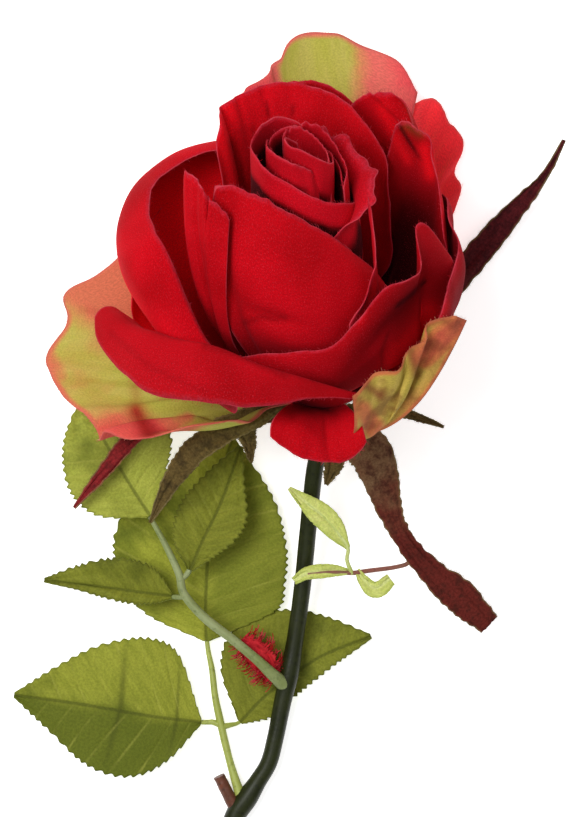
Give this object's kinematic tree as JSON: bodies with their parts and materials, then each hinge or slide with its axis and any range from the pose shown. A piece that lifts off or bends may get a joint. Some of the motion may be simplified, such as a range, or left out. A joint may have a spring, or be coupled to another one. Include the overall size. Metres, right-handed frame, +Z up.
{
  "type": "cut rose",
  "caption": "Cut rose lying on its side: layered red bloom with yellow-green outer petals, long sepals, a bent stem, toothed leaves and a pale young shoot.",
  "frame": {"origin": "centre of the bounding box in plan, on the surface the flower lies on", "axes": "+Y from the cut end of the stem towards the bloom, +Z up, +X to the right seen from above with the bloom at the top"},
  "size_m": [0.1434, 0.2682, 0.0891],
  "materials": {
    "petal_red": "matte",
    "guard_green": "matte",
    "sepal_brown": "matte",
    "stem_green": "satin",
    "leaf_green": "matte",
    "stalk_grey_green": "satin",
    "stalk_lime": "satin",
    "stipule_red": "matte",
    "stub_brown": "satin",
    "sprig_pale": "satin"
  },
  "bodies": {
    "root": {"heart_petals": "petal_red", "inner_petals": "petal_red", "middle_petals": "petal_red", "outer_petals": "petal_red", "guard_petals": "guard_green", "calyx": "sepal_brown", "stem": "stem_green", "upper_leaf_tip_leaflet": "leaf_green", "upper_leaf_left_leaflet": "leaf_green", "upper_leaf_right_leaflet": "leaf_green", "lower_leaf_tip_leaflet": "leaf_green", "lower_leaf_left_leaflet": "leaf_green", "lower_leaf_right_leaflet": "leaf_green", "upper_leaf_stalk": "stalk_grey_green", "lower_leaf_stalk": "stalk_lime", "stipule": "stipule_red", "cut_stub": "stub_brown", "young_sprig": "sprig_pale"}
  },
  "joints": []
}
